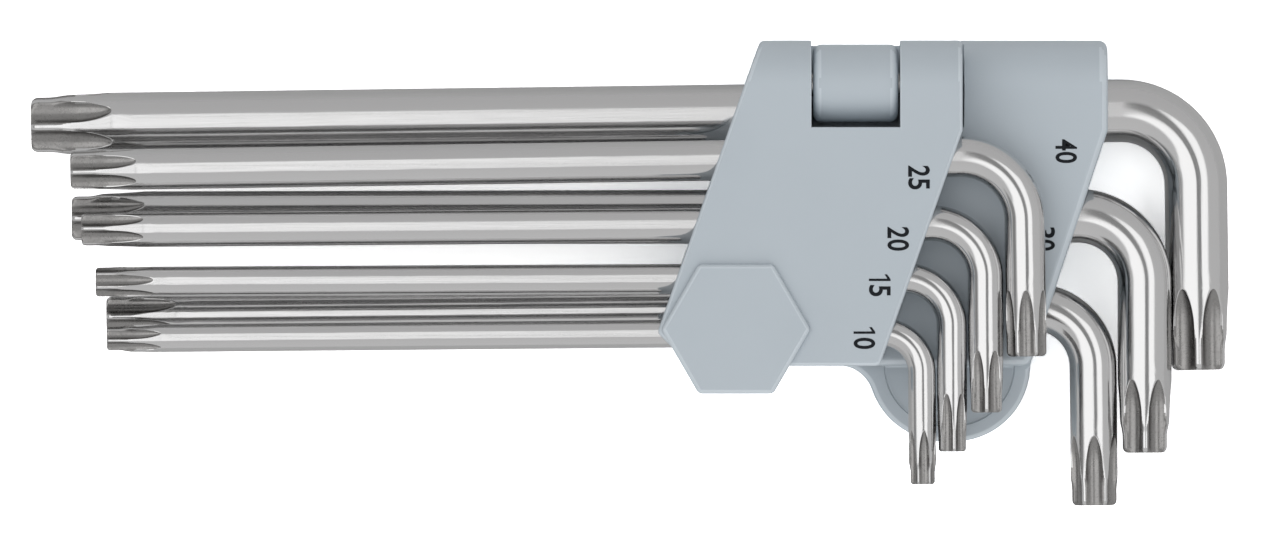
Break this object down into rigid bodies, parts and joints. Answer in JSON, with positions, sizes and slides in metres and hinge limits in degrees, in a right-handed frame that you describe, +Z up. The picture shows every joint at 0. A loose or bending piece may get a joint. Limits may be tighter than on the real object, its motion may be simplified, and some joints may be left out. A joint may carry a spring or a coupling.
{
  "type": "star key",
  "caption": "L-shaped star keys with six-lobed tips in a folding plastic holder of two hinged leaves; the front leaf swings open and the keys turn or slide in their bores.",
  "frame": {"origin": "middle of the footprint, on the surface that the closed set lies on", "axes": "+X along the long arms towards the bends, +Y towards the hinge, +Z up through the front leaf"},
  "size_m": [0.1335, 0.0518, 0.0199],
  "materials": {
    "holder_plastic": "moulded, light blue-grey, satin",
    "key_steel": "polished shafts, duller forged flutes",
    "pin_steel": "plain drawn wire"
  },
  "bodies": {
    "back_leaf": {"back_leaf": "holder_plastic"},
    "front_leaf": {"front_leaf": "holder_plastic", "hinge_pin": "pin_steel"},
    "key_10": {"key_10": "key_steel"},
    "key_15": {"key_15": "key_steel"},
    "key_20": {"key_20": "key_steel"},
    "key_25": {"key_25": "key_steel"},
    "key_27": {"key_27": "key_steel"},
    "key_30": {"key_30": "key_steel"},
    "key_40": {"key_40": "key_steel"}
  },
  "joints": [
    {"name": "leaf_hinge", "type": "hinge", "parent": "back_leaf", "child": "front_leaf", "pos_m": [0.02508, 0.02089, 0.0141], "axis": [-1, 0, 0], "range_deg": [0, 180]},
    {"name": "key_10_swivel", "type": "hinge", "parent": "front_leaf", "child": "key_10", "pos_m": [0.03239, -0.00651, 0.01562], "axis": [-1, -0.0087, 0], "range_deg": [0, 90]},
    {"name": "key_15_swivel", "type": "hinge", "parent": "front_leaf", "child": "key_15", "pos_m": [0.03572, -0.00051, 0.01562], "axis": [-1, -0.0052, 0], "range_deg": [0, 90]},
    {"name": "key_20_swivel", "type": "hinge", "parent": "front_leaf", "child": "key_20", "pos_m": [0.03945, 0.00559, 0.01562], "axis": [-1, -0.0079, 0], "range_deg": [0, 90]},
    {"name": "key_25_slide", "type": "slide", "parent": "front_leaf", "child": "key_25", "axis": [0.9999, 0.0152, 0], "range_m": [0, 0.1]},
    {"name": "key_27_swivel", "type": "hinge", "parent": "back_leaf", "child": "key_27", "pos_m": [0.05151, -0.00371, 0.0077], "axis": [-0.9999, -0.0105, 0], "range_deg": [0, 90]},
    {"name": "key_30_swivel", "type": "hinge", "parent": "back_leaf", "child": "key_30", "pos_m": [0.05728, 0.00639, 0.0077], "axis": [-1, -0.0026, 0], "range_deg": [0, 90]},
    {"name": "key_40_slide", "type": "slide", "parent": "back_leaf", "child": "key_40", "axis": [0.9999, 0.0131, 0], "range_m": [0, 0.122]}
  ]
}
